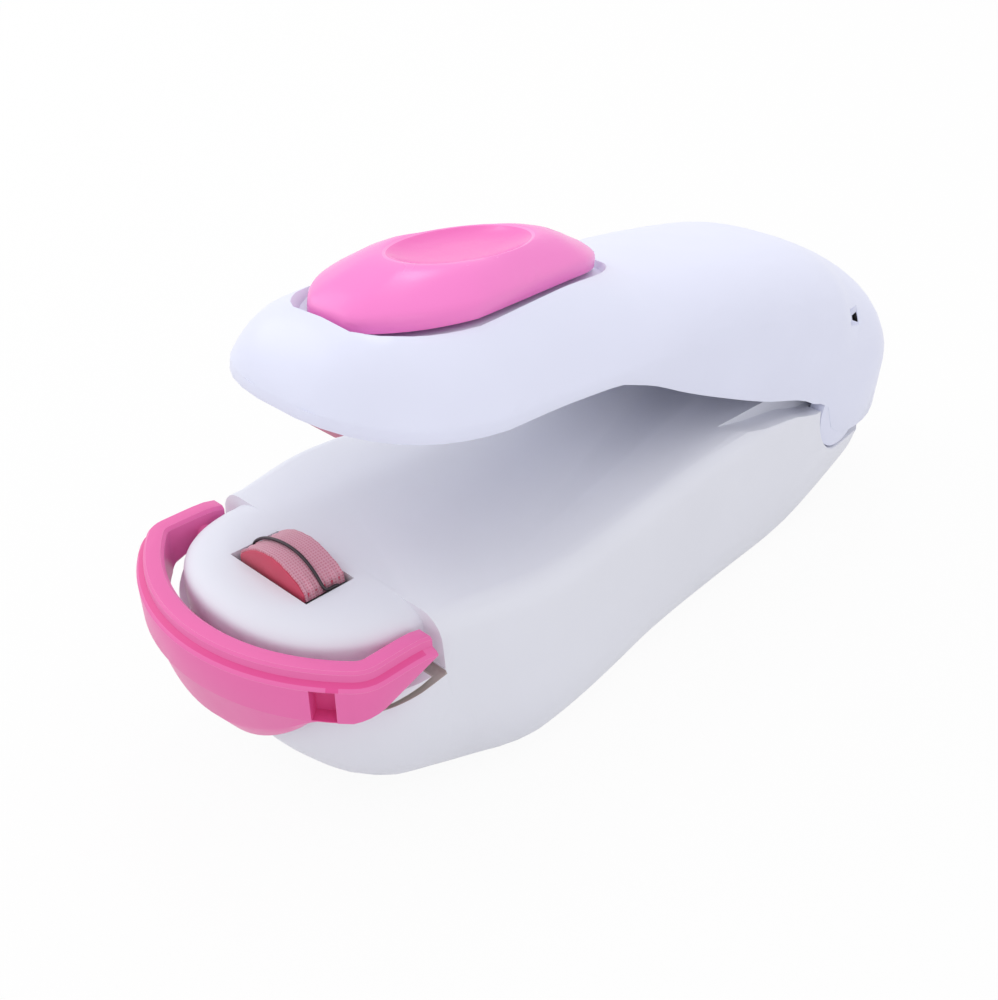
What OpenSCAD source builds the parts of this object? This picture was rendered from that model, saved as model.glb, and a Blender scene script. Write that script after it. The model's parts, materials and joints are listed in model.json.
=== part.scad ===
// Hand-held mini bag sealer: a base with two cells and a sprung heater in its nose, a hinged
// arm, a press button that carries the upper pad, and a lock bail that flips up before the arm.
// Millimetres. X runs across, Y from the front to the hinge, Z up from the underside.
// The arm is drawn closed and turned to its open rest pose.

/* [Base] */
// Distance from the front datum to the end of the tail
base_end = 122; // [120:0.5:125]
// Height of the plateau on the nose
plateau_h = 26; // [25:0.5:28]
// Fall of the top towards the hinge, in degrees
top_fall = 2; // [1:0.25:3]
// Width at the shoulder, where the lock's arms end
shoulder_w = 42.2; // [41.6:0.2:44]
// Width at the belly
belly_w = 48; // [46:0.5:52]
// Width at the waist
waist_w = 41.2; // [40:0.2:44]
// Width at the tail
tail_w = 35; // [34:0.2:37]
// Bottom edge: reach of the rounding inwards
edge_in = 6.5; // [4:0.25:7]
// Bottom edge: reach of the rounding upwards
edge_up = 10; // [7:0.5:11]
// Radius along the top edge
top_r = 3.4; // [2:0.2:4]
// Lean of each side wall
side_lean = 1; // [0:0.2:1.4]
// Height that the tail rises at its end
tail_rise = 7; // [5:0.5:8]

/* [Nose] */
// Width of the nose between the lock's arms
nose_w = 34; // [32:0.5:34.5]
// Distance from the front datum to the nose
nose_front = 5.8; // [5.4:0.2:7]
// Drop of the rounding round the plateau
nose_drop = 2.2; // [1:0.2:3]
// Reach of the rounding round the plateau
nose_reach = 5; // [3:0.25:6]
// Height of the ledges under the lock's arms
ledge_h = 14.8; // [13:0.2:15.4]

/* [Hinge] */
// Height of the hinge axis
hinge_z = 17; // [16:0.25:18]
// Distance of the hinge axis from the end of the tail
hinge_back = 12.2; // [11:0.1:13]
// Radius of the ears
ear_r = 6.2; // [5.5:0.1:6.6]
// Thickness of the ears
ear_t = 2.3; // [2:0.1:3]
// Diameter of the snap-in studs
stud_d = 5; // [4:0.25:6]
// Length of the studs
stud_l = 2.5; // [2:0.25:3.5]
// Running clearance round a stud
stud_clear = 0.06; // [0.03:0.01:0.1]
// Gap between the ears and the base
ear_gap = 0.35; // [0.25:0.05:0.6]

/* [Arm] */
// Angle that the arm stands open
arm_open = 8.7; // [8:0.1:10]
// Height of the closed arm's rim over the plateau
rim_gap = 6.1; // [5.8:0.1:7.5]
// Distance from the front datum to the rim
arm_front = 12.8; // [12.4:0.1:13.4]
// Widest part of the saucer
arm_w = 36.4; // [35:0.2:37]
// Width at the arm's waist
arm_waist_w = 31.6; // [30:0.2:33]
// Overhang of the arm behind the hinge
arm_back = 20.2; // [19.4:0.2:20.8]
// Wall of the arm
arm_wall = 1.8; // [1.4:0.1:2.2]
// Height of the straight band round the rim
rim_band = 1.3; // [0.8:0.1:2]
// Height of the crown over the rim under the button
crown_h = 12; // [11.6:0.1:12.6]
// Height of the crown over the rim at the dip behind the button
dip_h = 9.7; // [9.3:0.1:11]
// Height of the crown over the rim at the rear hump
hump_h = 10.4; // [10.4:0.2:12.4]
// Thickness of the plate that closes the arm
plate_t = 1.6; // [1.2:0.1:2.2]

/* [Button] */
// Distance from the front datum to the button
button_front = 18.8; // [18.4:0.1:19.2]
// Length of the button
button_l = 44.4; // [42.8:0.4:45.6]
// Width of the button
button_w = 20; // [18.8:0.2:20.4]
// Rise of the button's top from its edge to its middle
button_rise = 3.2; // [2.6:0.1:3.6]
// Travel of the button
button_travel = 0.6; // [0.4:0.1:0.7]
// Gap round the button
button_gap = 0.6; // [0.3:0.05:0.8]
// Depth of the thumb dish
dish_d = 1.05; // [0.8:0.05:1.3]

/* [Pads] */
// Width of the pads
pad_w = 11.7; // [10:0.1:12]
// Depth of the pads from front to back
pad_d = 5.9; // [5:0.1:6]
// Distance from the front datum to the lower pad
pad_front = 13.15; // [12.9:0.05:13.3]
// Height of the lower pad's arch over the plateau
pad_arch = 3; // [2.4:0.1:3.2]
// Height of the lower pad's ends over the plateau
pad_ends = 0.7; // [0.4:0.1:1]
// Thickness of the glass cloth over the pad
cloth_t = 0.3; // [0.2:0.05:0.4]
// Diameter of the heating wire
wire_d = 0.5; // [0.4:0.05:0.6]
// Width of the upper pad
upper_pad_w = 14; // [12:0.1:14.4]
// Thickness of the upper pad
upper_pad_t = 1.6; // [1.2:0.1:1.8]
// Gap between the wire and the upper pad with the arm closed and the button up
jaw_gap = 0.85; // [0.85:0.05:1.2]
// Travel of the heater block
heater_travel = 0.8; // [0.5:0.1:1]

/* [Lock] */
// Half width of the lock to the middle of its ridge
lock_half = 18.9; // [18.7:0.1:19.4]
// Radius of the front bow
lock_bow_r = 26.5; // [25:0.25:28]
// Distance from the front datum to the bends
lock_bend = 11.6; // [11:0.1:12]
// Height of the top of the ridge
lock_top = 25.4; // [25:0.1:25.8]
// Width of the ridge
ridge_w = 2.4; // [2:0.1:2.6]
// Width of the lip outside the ridge
lip_w = 1; // [0.8:0.1:1.4]
// Drop of the lip below the ridge
lip_drop = 1.5; // [0.8:0.1:2]
// Height of the band from the ridge down
band_h = 6.1; // [5.6:0.1:6.6]
// Drop of the apron below the band at the front
apron_h = 9; // [8:0.25:10.5]
// Reach of the apron under the bow
apron_in = 4.2; // [3:0.1:4.4]
// Distance from the front datum to the pivot
pivot_y = 16; // [15.6:0.1:16.4]
// Height of the pivot
pivot_z = 22.5; // [22:0.1:23]
// Diameter of the pivot studs
pivot_d = 2.2; // [1.8:0.1:2.4]

/* [Cells] */
// Diameter of a cell
cell_d = 14.5; // [14:0.1:14.5]
// Length of a cell
cell_l = 50.5; // [49.5:0.1:50.5]
// Length of a pressed contact spring
contact_spring_l = 6; // [5:0.25:6.5]
// Diameter of the contact springs' wire
contact_wire_d = 0.7; // [0.5:0.05:0.8]
// Thickness of the contact strips
strip_t = 0.4; // [0.3:0.05:0.6]
// Thickness of the battery door
door_t = 2; // [1.6:0.1:2.2]
// Gap round the battery door
door_gap = 0.3; // [0.2:0.05:0.4]

/* [Springs] */
// Wire of the arm spring
arm_wire_d = 0.9; // [0.7:0.05:1]
// Outer diameter of the arm spring
arm_spring_d = 8; // [7:0.25:9]
// Wire of the button spring
button_wire_d = 0.5; // [0.4:0.05:0.6]

/* [Hidden] */

// Facets of turned shapes and of small bores
$fn = 48;

// A hair between faces that rest on each other, and the overlap of joined shapes
touch = 0.02;
join = 0.5;

// The origin lies on the underside, under the middle of the cells
origin_y = 57;

// Stations along the base
bow_front = nose_front + 0.5;
bow_keel = 27;
step_y = pad_front + pad_d + 1.75;
shoulder_y = step_y + 1.2;
belly_y = 36;
waist_y = 68;
keel_rise = ledge_h - 1.5;
tail_start = 90;
tail_round = 6;
bow_power = 2.4;
nose_power = 2.3;
slot_d = 1.1;
slot_end_d = 0.4;
slot_in = nose_w / 2 - 1.5;

// Hinge
hinge_y = base_end - hinge_back;
ear_out = tail_w / 2 - 0.3;
ear_in = ear_out - ear_t;
block_half = ear_in - ear_gap;
tail_top = hinge_z - ear_r - ear_gap - 0.6;

// Arm, measured from its closed pose
rim_z = plateau_h + rim_gap;
arm_end = hinge_y + arm_back;
saucer_y = 30;
arm_waist_y = 62;
arm_flank_y = 98;
arm_round = 14;
arm_power = 2.5;
skirt_start = 52;
skirt_d = hinge_z + 1.8 - rim_z;
front_droop = 0.2;
plate_low = rim_z + 0.2;
plate_top = plate_low + plate_t;
plate_front = 24;
plate_back = 102;
plate_clear = 0.15;

// Button and the jaw that it carries
boss_y = 40;
boss_d = 8;
boss_hole_d = boss_d + 0.2;
button_wide = 0.3;
button_wall = 2.6;
seat_h = 9;
moat_w = 1.4;
moat_h = 1.7;
strap_hole = 1.3;
strap_pocket = 5.2;
strap_d = 1.6;
strap_y = hinge_y - 1.3;
strap_z = rim_z - 0.3;
dish_y = button_front + button_l * 0.45;
dish_half = 6.3;
dish_l = 25;
spring_room_d = 13.4;
recess_floor_t = 1.3;
jaw_low = plateau_h + pad_arch + wire_d + jaw_gap;
carrier_low = jaw_low + upper_pad_t;
carrier_top = plate_top + 0.2;
upper_front = pad_front + 2.2;
carrier_w = 9;

// Heater
chamber_half = 10.2;
chamber_front = pad_front - 1.35;
chamber_back = pad_front + pad_d + 1.55;
chamber_low = 10;
chamber_top = 22;
pocket_half = pad_w / 2 + 1.15;
pocket_gap = 0.5;
block_in = 0.2;
heater_low = chamber_low + 4;
heater_top = plateau_h - 0.8;
arch_h = pad_arch - pad_ends;
arch_r = (pow(pad_w / 2, 2) + pow(arch_h, 2)) / (2 * arch_h);
arch_z = plateau_h + pad_arch - arch_r;
pad_mid = pad_front + pad_d / 2;
wire_y = pad_front + pad_d * 0.42;

// Battery bay
cell_x = cell_d / 2 + 0.15;
cell_z = door_t + cell_d / 2 + 0.75;
bay_half = 2 * cell_x + 0.1;
bay_front = 28;
bump_h = 0.6;
bump_d = 4;
contact_w = 9;
contact_h = 10;
bay_back = bay_front + 2 * strip_t + bump_h + cell_l + contact_spring_l;
bay_top = cell_z + cell_d / 2 + 0.55;
strip_w = 6;
strip_x = cell_x - 0.9;
strip_z = chamber_low;
door_half = bay_half - 0.2;
door_front = bay_front + 1.6;
door_back = bay_back - 0.8;
door_axis_y = bay_front + 0.6;
door_axis_z = 1.4;
tab_w = 4;
tab_x = 8;

// Springs
spring_y = 92;
spring_low = 18;
contact_r = 3.6;

function clamp(t) = min(max(t, 0), 1);
function mix(a, b, t) = a + (b - a) * t;
function ease(t) = (1 - cos(180 * clamp(t))) / 2;
function bulge(t, p) = pow(1 - pow(clamp(t), p), 1 / p);

// A smooth line through points of position and value
function slope(k, i) =
    let (a = max(i - 1, 0), b = min(i + 1, len(k) - 1))
    (k[b][1] - k[a][1]) / (k[b][0] - k[a][0]);
function flow(y, k, i = 0) =
    y > k[i + 1][0] && i < len(k) - 2 ? flow(y, k, i + 1) :
    let (h = k[i + 1][0] - k[i][0], t = clamp((y - k[i][0]) / h), u = 1 - t)
    k[i][1] * (1 + 2 * t) * u * u + k[i + 1][1] * (3 - 2 * t) * t * t
    + h * t * u * (slope(k, i) * u - slope(k, i + 1) * t);

// A solid through rows of points, each row a loop that faces back along the run
module skin(rows) {
    n = len(rows[0]);
    m = len(rows);
    sides = [for (i = [0 : m - 2], j = [0 : n - 1])
        let (k = (j + 1) % n, a = i * n, b = a + n)
        each j < n / 2 ? [[a + j, a + k, b + k], [a + j, b + k, b + j]] :
            [[a + j, a + k, b + j], [a + k, b + k, b + j]]];
    front = [for (j = [n - 1 : -1 : 0]) j];
    back = [for (j = [0 : n - 1]) (m - 1) * n + j];
    polyhedron([for (row = rows) each row], concat([front], sides, [back]), convexity = 8);
}

// A round wire wound about Z from z0 to z1, with a radius at each end, and the least gap between its turns
function coil_point(r0, r1, z0, z1, turns, t) =
    let (a = 360 * turns * t, r = mix(r0, r1, t)) [r * cos(a), r * sin(a), mix(z0, z1, t)];
function coil_gap(r0, r1, wire, z0, z1, turns) =
    let (line = [for (t = [0 : 0.02 : 1]) coil_point(r0, r1, z0, z1, turns, t)])
    min([for (i = [0 : 50], j = [i : 50]) if ((j - i) * turns > 25) norm(line[i] - line[j])]) - wire;
module coil(r0, r1, wire, z0, z1, turns) {
    echo(least_gap_between_turns = coil_gap(r0, r1, wire, z0, z1, turns));
    rings = ceil(turns * 10);
    skin([for (i = [0 : rings])
        let (t = i / rings, a = 360 * turns * t, r = mix(r0, r1, t), z = mix(z0, z1, t))
        [for (j = [0 : 5])
            let (b = 60 * j, q = r + wire / 2 * cos(b))
            [q * cos(a), q * sin(a), z + wire / 2 * sin(b)]]]);
}

// Places: the part's frame, the open arm, and a run along X
module place() translate([0, -origin_y, 0]) children();
module open_arm() place() translate([0, hinge_y, hinge_z]) rotate([-arm_open, 0, 0])
    translate([0, -hinge_y, -hinge_z]) children();
module along_x(x0, x1) translate([x0, 0, 0]) rotate([90, 0, 90]) linear_extrude(x1 - x0) children();
module along_y(y0, y1) translate([0, y1, 0]) rotate([90, 0, 0]) linear_extrude(y1 - y0) children();
module both() {
    children();
    mirror([1, 0, 0]) children();
}
module box(x0, x1, y0, y1, z0, z1) translate([x0, y0, z0]) cube([x1 - x0, y1 - y0, z1 - z0]);
module rod_x(d, x0, x1, y, z) translate([x0, y, z]) rotate([0, 90, 0]) cylinder(d = d, h = x1 - x0);

// Base shell

function top_z(y) = plateau_h - tan(top_fall) * (y - step_y);
function base_half(y) =
    y < shoulder_y ? shoulder_w / 2 * bulge((shoulder_y - y) / (shoulder_y - bow_front), bow_power) :
    flow(y, [[shoulder_y, shoulder_w / 2], [belly_y, belly_w / 2], [waist_y, waist_w / 2],
             [hinge_y, tail_w / 2], [base_end + tail_round, tail_w / 2 - 1]])
    - tail_round * (1 - bulge((y - base_end + tail_round) / tail_round, 2));
function base_low(y) =
    y < bow_keel ? keel_rise * (1 - bulge((bow_keel - y) / (bow_keel - bow_front), 2)) :
    tail_rise * pow(clamp((y - tail_start) / (base_end - tail_start)), 1.7);

function base_row(y, top) =
    let (w = base_half(y), b = base_low(y), h = top - b,
         fore = 1 - ease((y - step_y) / 14),
         beside_door = max(w - door_half - 0.6, 3) + 6 * ease((door_front + 3 - y) / 20),
         ein = min(edge_in + 3 * fore, w * 0.6, beside_door), eup = min(edge_up + 3 * fore, h * 0.6),
         r = min(top_r, h * 0.3, w * 0.3), lean = min(side_lean, w * 0.1),
         half = concat(
             [for (a = [0 : 11.25 : 90]) [w - ein * (1 - sin(a)), b + eup * (1 - cos(a))]],
             [for (a = [0 : 18 : 90]) [w - lean - r * (1 - cos(a)), top - r * (1 - sin(a))]]),
         n = len(half))
    concat([for (p = half) [p[0], y, p[1]]],
           [for (i = [n - 1 : -1 : 0]) [-half[i][0], y, half[i][1]]]);

module base_solid() {
    bow = shoulder_y - bow_front;
    skin(concat(
        [for (a = [7 : 6 : 73]) let (y = shoulder_y - bow * cos(a)) if (y < step_y) base_row(y, plateau_h)],
        [for (i = [0 : 30]) let (y = mix(step_y, base_end - tail_round, i / 30)) base_row(y, top_z(y))],
        [for (a = [15 : 15 : 90]) let (y = base_end - tail_round + tail_round * sin(a) * 0.999)
            base_row(y, top_z(y))]));
}

function nose_row(inset, z) =
    let (a = nose_w / 2 - inset, b = step_y + touch - nose_front - inset)
    concat([[-a, step_y + join, z]],
           [for (i = [0 : 6 : 180]) let (c = -cos(i), s = sin(i))
               [a * sign(c) * pow(abs(c), 2 / nose_power), step_y + touch - b * pow(s, 2 / nose_power), z]],
           [[a, step_y + join, z]]);

module nose_solid() {
    rows = concat([nose_row(0.4, ledge_h - 2)],
        [for (a = [0 : 15 : 90]) nose_row(nose_reach * (1 - cos(a)), plateau_h - nose_drop * (1 - sin(a)))]);
    skin([for (row = rows) [for (i = [len(row) - 1 : -1 : 0]) row[i]]]);
}

// Room for the arm's side walls, the ears and the swing behind the hinge
module hinge_room() {
    far = 40;
    both() along_x(arm_waist_w / 2 - arm_wall - 0.4, far) polygon(concat(
        [for (y = [66 : 3 : 102]) [y, rim_z + arm_low(y) - 0.4]],
        [[hinge_y, hinge_z + 1.3], [hinge_y, far], [66, far]]));
    both() along_x(block_half, far) {
        translate([hinge_y, hinge_z]) circle(r = ear_r + ear_gap);
        polygon([[hinge_y, hinge_z - ear_r - ear_gap], [base_end + 1, hinge_z - ear_r - ear_gap],
                 [base_end + 1, far], [hinge_y, far]]);
    }
    along_x(-far, far) {
        difference() {
            polygon([[hinge_y, hinge_z], [base_end + 1, hinge_z], [base_end + 1, far], [hinge_y, far]]);
            translate([hinge_y, hinge_z]) circle(r = ear_r);
        }
        polygon([[hinge_y + ear_r, tail_top], [base_end + 1, tail_top], [base_end + 1, far],
                 [hinge_y + ear_r, far]]);
    }
}

module battery_room() {
    box(-bay_half, bay_half, bay_front, bay_back, door_t - 0.2, bay_top);
    box(-door_half - door_gap, door_half + door_gap, door_front - 0.5, door_back + door_gap, -1, door_t);
    both() box(tab_x - tab_w / 2 - 0.3, tab_x + tab_w / 2 + 0.3, bay_front - 0.4, door_front, 0.4, 2.5);
    both() box(strip_x - strip_w / 2 - 0.1, strip_x + strip_w / 2 + 0.1, chamber_back - join, bay_front + join,
               strip_z, strip_z + strip_t + 0.2);
}

module heater_room() {
    box(-chamber_half, chamber_half, chamber_front, chamber_back, chamber_low, chamber_top);
    box(-pocket_half, pocket_half, pad_front - pocket_gap, pad_front + pad_d + pocket_gap, chamber_top - join,
        plateau_h + 1);
}

module base_shell() color([0.84, 0.86, 0.92]) place() difference() {
    union() {
        difference() {
            base_solid();
            along_x(-belly_w, belly_w) polygon([[-1, ledge_h], [lock_bend - 4.6, ledge_h],
                [lock_bend - 1.6, arm_ledge - 1.6], [lock_bend + 2.4, arm_ledge - 0.4], [step_y, arm_ledge],
                [step_y, 2 * plateau_h], [-1, 2 * plateau_h]]);
        }
        nose_solid();
    }
    hinge_room();
    battery_room();
    heater_room();
    both() rod_x(stud_d + 2 * stud_clear, block_half - stud_l - 0.1, block_half + 1, hinge_y, hinge_z);
    both() hull() {
        rod_x(slot_end_d, slot_in, belly_w / 2, lock_bend + 2, arm_ledge - 2.1);
        rod_x(slot_d, slot_in, belly_w / 2, step_y - slot_d / 2, arm_ledge - 0.3);
    }
    both() rod_x(pivot_d + 2 * stud_clear, nose_w / 2 - 2.2, nose_w / 2 + 1, pivot_y, pivot_z);
    translate([0, spring_y, spring_low]) cylinder(d = arm_spring_d + 1, h = plateau_h);
}

// Battery door, cells and contacts

module battery_door() color([0.82, 0.84, 0.90]) place() {
    rib_y = door_back - 8;
    rib_gap = 1.6;
    difference() {
        along_x(-door_half, door_half) polygon([[door_front + 0.9, 0], [door_back, 0], [door_back, door_t],
            [door_front, door_t], [door_front, 0.9]]);
        for (i = [0 : 3]) box(-7, 7, rib_y + i * rib_gap, rib_y + i * rib_gap + 0.8, -1, 0.4);
    }
    both() box(tab_x - tab_w / 2, tab_x + tab_w / 2, door_axis_y - 0.7, door_front + join, door_axis_z - 0.5,
               door_axis_z + 0.5);
}

module cell(y0, y1) {
    nub_l = 1.1;
    flip = y1 < y0 ? 180 : 0;
    translate([0, y0, cell_z]) rotate([-90 + flip, 0, 0]) rotate_extrude() polygon([[0, 0], [3.6, 0],
        [3.6, 0.3], [cell_d / 2 - 0.6, 0.3], [cell_d / 2, 0.9], [cell_d / 2, cell_l - nub_l - 0.5],
        [cell_d / 2 - 0.5, cell_l - nub_l], [2.7, cell_l - nub_l], [2.7, cell_l - 0.2], [2.5, cell_l],
        [0, cell_l]]);
}

left_plus_y = bay_front + strip_t + bump_h;
right_plus_y = bay_back - strip_t - bump_h;

module battery_left() color([0.25, 0.27, 0.30]) place() translate([-cell_x, 0, 0])
    cell(left_plus_y + cell_l, left_plus_y);
module battery_right() color([0.25, 0.27, 0.30]) place() translate([cell_x, 0, 0])
    cell(right_plus_y - cell_l, right_plus_y);

module contact_plate(x0, x1, y0, y1) box(x0 - contact_w / 2, x1 + contact_w / 2, y0, y1,
    cell_z - contact_h / 2, cell_z + contact_h / 2);
module contact_bump(x, y0, y1) translate([x, y1, cell_z]) rotate([90, 0, 0]) cylinder(d = bump_d, h = y1 - y0);

module bridge_contact() color([0.76, 0.76, 0.78]) place() {
    y1 = bay_back - touch;
    contact_plate(-cell_x, cell_x, y1 - strip_t, y1);
    contact_bump(cell_x, right_plus_y + touch, y1);
}

module contact_strip(x) {
    y0 = bay_front + touch;
    contact_plate(x, x, y0, y0 + strip_t);
    mid = sign(x) * strip_x;
    box(mid - strip_w / 2, mid + strip_w / 2, chamber_front + 1, y0 + strip_t, strip_z + touch,
        strip_z + touch + strip_t);
}

module positive_contact() color([0.78, 0.72, 0.52]) place() {
    contact_strip(-cell_x);
    contact_bump(-cell_x, bay_front + strip_t, left_plus_y - touch);
}
module negative_contact() color([0.76, 0.76, 0.78]) place() contact_strip(cell_x);

module contact_coil(y0, y1) translate([0, y0, cell_z]) rotate([-90, 0, 0])
    coil(contact_r + 1, contact_r - 1, contact_wire_d, contact_wire_d / 2, y1 - y0 - contact_wire_d / 2, 4);

module negative_spring() color([0.76, 0.76, 0.78]) place() translate([cell_x, 0, 0])
    contact_coil(bay_front + strip_t + 2 * touch, right_plus_y - cell_l - touch);
module bridge_spring() color([0.76, 0.76, 0.78]) place() translate([-cell_x, 0, 0])
    translate([0, bay_back - strip_t - 2 * touch, 0]) mirror([0, 1, 0])
    contact_coil(0, bay_back - strip_t - left_plus_y - cell_l - 3 * touch);

// Heater

module heater_block() color([0.30, 0.28, 0.30]) place() difference() {
    union() {
        box(-pad_w / 2 - block_in, pad_w / 2 + block_in, pad_front - block_in, pad_front + pad_d + block_in,
            heater_low, heater_top);
        both() along_y(pad_mid - 2, pad_mid + 2) polygon([[pad_w / 2 - join, chamber_top - 3.5],
            [pad_w / 2 + block_in, chamber_top - 3.5], [chamber_half - 1.6, chamber_top - 1.2],
            [chamber_half - 1.6, chamber_top - touch], [pad_w / 2 - join, chamber_top - touch]]);
    }
    translate([-rivet_x, pad_mid, heater_low - 1]) cylinder(d = rivet_d, h = 4);
}

rivet_x = 4.8;
rivet_d = 1.6;
rivet_tip = strip_z + touch + strip_t + heater_travel + 0.05;

module switch_rivet() color([0.78, 0.62, 0.36]) place() translate([-rivet_x, pad_mid, 0]) {
    translate([0, 0, heater_low - join]) cylinder(d = rivet_d - 2 * touch, h = 2.9 + join);
    translate([0, 0, rivet_tip]) cylinder(d1 = 1.6, d2 = 2.4, h = 0.6);
    translate([0, 0, rivet_tip + 0.6]) cylinder(d = 2.4, h = heater_low - touch - rivet_tip - 0.6);
}

module heater_pad() color([0.80, 0.20, 0.32]) place() along_y(pad_front, pad_front + pad_d) intersection() {
    translate([-pad_w / 2, heater_top + touch]) square([pad_w, pad_arch + 2]);
    translate([0, arch_z]) circle(r = arch_r - cloth_t - touch, $fn = 96);
}

module pad_cloth() color([0.86, 0.64, 0.72]) place() along_y(pad_front + 0.25, pad_front + pad_d - 0.25)
    difference() {
        outside = pad_w / 2 + cloth_t + touch;
        inside = pad_w / 2 + touch;
        intersection() {
            translate([0, arch_z]) circle(r = arch_r, $fn = 96);
            translate([-outside, heater_top]) square([2 * outside, 10]);
        }
        intersection() {
            translate([0, arch_z]) circle(r = arch_r - cloth_t, $fn = 96);
            translate([-inside, 0]) square([2 * inside, 60]);
        }
    }

module heating_wire() color([0.12, 0.12, 0.13]) place() translate([0, wire_y, arch_z]) {
    r = arch_r + wire_d / 2 + touch;
    leg_x = pad_w / 2 + block_in + cloth_t + wire_d / 2 + 0.05;
    lean = asin(leg_x / r);
    rotate([90, 0, 0]) rotate([0, 0, 90 - lean]) rotate_extrude(angle = 2 * lean) translate([r, 0])
        circle(d = wire_d, $fn = 16);
    both() translate([leg_x, 0, r * cos(lean) - 2.6]) cylinder(d = wire_d, h = 2.6 + 0.12, $fn = 16);
}

module heater_spring() color([0.76, 0.76, 0.78]) place() along_y(pad_mid - 2, pad_mid + 2) {
    leaf_t = 0.35;
    low = strip_z + strip_t + 2 * touch;
    x0 = -2.8;
    x1 = strip_x + strip_w / 2 - 0.4;
    half = (x1 - x0) / 2;
    h = heater_low - touch - low - leaf_t;
    r = (half * half + h * h) / (2 * h);
    translate([x0 + half, low + h - r]) intersection() {
        difference() {
            circle(r = r + leaf_t, $fn = 96);
            circle(r = r, $fn = 96);
        }
        translate([-half, r - h - leaf_t]) square([2 * half, h + 1]);
    }
}

// Arm

function arm_half(y) =
    y < saucer_y ? arm_w / 2 * bulge((saucer_y - y) / (saucer_y - arm_front), arm_power) :
    y > arm_end - arm_round ? ear_out * bulge((y - arm_end + arm_round) / arm_round, arm_power) :
    flow(y, [[saucer_y, arm_w / 2], [43, mix(arm_w, arm_waist_w, 0.66) / 2], [arm_waist_y, arm_waist_w / 2],
             [80, mix(arm_waist_w / 2, ear_out, 0.55)], [arm_flank_y, ear_out], [arm_end, ear_out]]);
function arm_crown(y) = flow(y, [[arm_front, rim_band - front_droop], [arm_front + 1.3, crown_h * 0.383],
    [arm_front + 3.3, crown_h * 0.617], [arm_front + 5.8, crown_h * 0.765], [21, crown_h * 0.815],
    [24, crown_h * 0.85], [30, crown_h * 0.92], [38, crown_h * 0.992], [46, crown_h],
    [52, mix(crown_h, dip_h, 0.3)], [58, mix(crown_h, dip_h, 0.7)], [64, dip_h],
    [76, mix(dip_h, hump_h, 0.6)], [88, hump_h], [100, hump_h * 0.95], [110, hump_h * 0.72],
    [118, hump_h * 0.36], [123, -1.5], [arm_end, -9.5]]);
function arm_low(y) =
    y < skirt_start ? -front_droop * ease((saucer_y + 4 - y) / 20) :
    flow(y, [[skirt_start, 0], [59.5, skirt_d * 0.13], [66, skirt_d * 0.29], [73, skirt_d * 0.44],
             [86, skirt_d * 0.685], [96, skirt_d * 0.82], [101, skirt_d * 0.95],
             [hinge_y - 5.2, skirt_d - 0.2], [hinge_y - 2, skirt_d - 4.8],
             [hinge_y + 5, skirt_d - 6.2], [arm_end - 4, skirt_d - 2.3],
             [arm_end, skirt_d + 3.2]]);
function band_z(y) =
    y < skirt_start ? arm_low(y) + rim_band : min(rim_band, mix(arm_low(y), arm_crown(y), 0.4));

// The dome is a cone with a flat top over the saucer, and boxy at the hinge
function boxy(y) = ease((y - 45) / 35);
function dome_p(y) = mix(3.1, 2.67, boxy(y));
function dome_q(y) = mix(1, 0.375, boxy(y));
function dome_z(x, y) =
    band_z(y) + (arm_crown(y) - band_z(y)) * pow(1 - pow(clamp(x / arm_half(y)), dome_p(y)), dome_q(y));

function arm_row(y, a, low, band, crown) =
    concat([[a, y, rim_z + low]],
           [for (i = [0 : 10 : 180]) let (c = cos(i), k = sin(i))
               [a * sign(c) * pow(abs(c), 2 / dome_p(y)), y,
                rim_z + band + (crown - band) * pow(k * k, dome_q(y))]],
           [[-a, y, rim_z + low]]);

arm_stations = concat(
    [for (a = [6 : 9 : 87]) saucer_y - (saucer_y - arm_front) * cos(a)],
    [for (y = [saucer_y : 2.5 : arm_end - arm_round - 1]) y],
    [for (a = [0 : 9 : 81]) arm_end - arm_round + arm_round * sin(a)],
    [arm_end - 0.05]);

module arm_solid() {
    skin([for (y = arm_stations) let (low = arm_low(y), crown = arm_crown(y))
        arm_row(y, max(arm_half(y), 0.8), low, band_z(y), crown)]);
}

// Half width of the button at a station, the level of its recess and the top of its side wall
function button_half(y) =
    let (u = (y - button_front) / button_l)
    button_w / 2 * (u < button_wide ? bulge((button_wide - u) / button_wide, 2) :
        (1 - 0.72 * pow((u - button_wide) / (1 - button_wide), 1.15)) * bulge((u - 0.84) / 0.16, 2));
function along_button(y, keys) = flow(clamp((y - button_front) / button_l), keys);
function recess_z(y) = seat_h + along_button(y, [[0, -1.9], [0.1, -1], [0.27, -0.2], [0.55, 0.2],
    [0.85, 0.2], [1, -0.3]]);
function button_edge(y) = recess_z(y) + button_wall;
function button_rim(y) = seat_h + button_wall + button_rise + 0.05 * (y - dish_y);

button_stations = concat(
    [for (a = [16 : 9 : 88]) button_front + button_wide * button_l * (1 - cos(a))],
    [for (i = [0 : 10]) button_front + mix(button_wide, 0.84, i / 10) * button_l],
    [for (a = [12 : 13 : 77]) button_front + button_l * (0.84 + 0.16 * sin(a))],
    [button_front + button_l * 0.9995]);

module button_room() {
    skin([for (y = button_stations)
        let (w = button_half(y) + button_gap, v = w + moat_w, u = (y - button_front) / button_l,
             s = y + (2 * u - 1) * button_gap * 1.4, z = rim_z + recess_z(s), over = z + crown_h)
        [[w, s, z], [v, s, z + moat_h], [v, s, over], [-v, s, over], [-v, s, z + moat_h], [-w, s, z]]]);
}

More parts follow.
